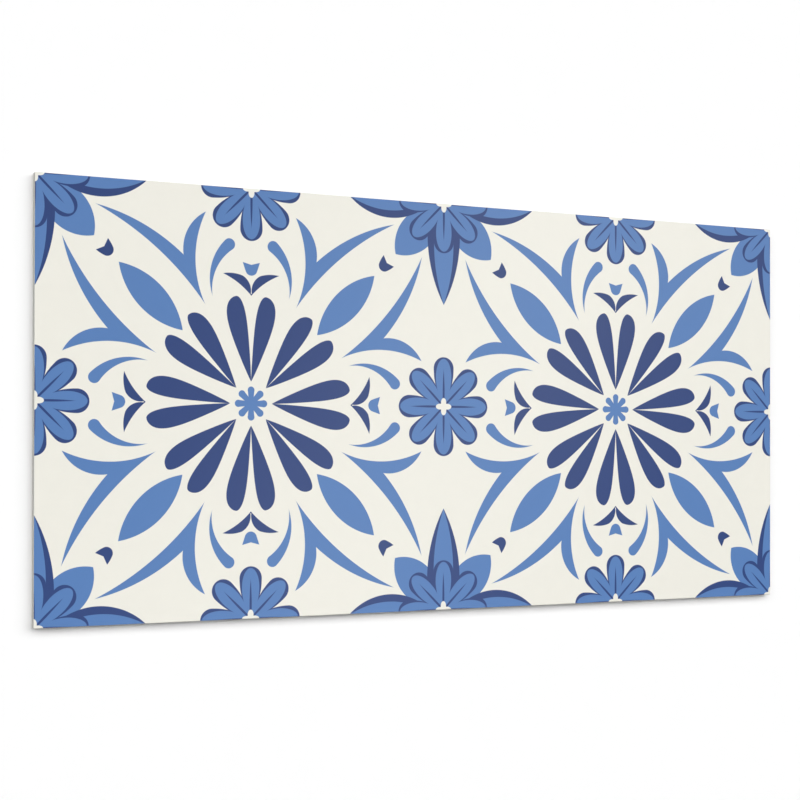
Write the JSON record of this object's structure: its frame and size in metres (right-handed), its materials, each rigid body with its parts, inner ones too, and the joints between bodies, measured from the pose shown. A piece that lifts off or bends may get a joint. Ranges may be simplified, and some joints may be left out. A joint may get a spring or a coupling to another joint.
{
  "type": "peel and stick wall panel",
  "caption": "Flat rectangular self-adhesive wall panel of white expanded PVC, its face printed with a blue and cream ornamental tile pattern; sticks to a wall by its back.",
  "frame": {"origin": "centre of the back face, which is the face that sticks to the wall and that the panel lies on", "axes": "+X along the panel's length, +Y along its height on the wall, +Z out of the printed face"},
  "size_m": [0.6, 0.3, 0.005],
  "materials": {
    "printed_board": "satin print in two blues on cream over white expanded PVC, pale release paper on the back"
  },
  "bodies": {
    "root": {"wall_panel": "printed_board"}
  },
  "joints": []
}
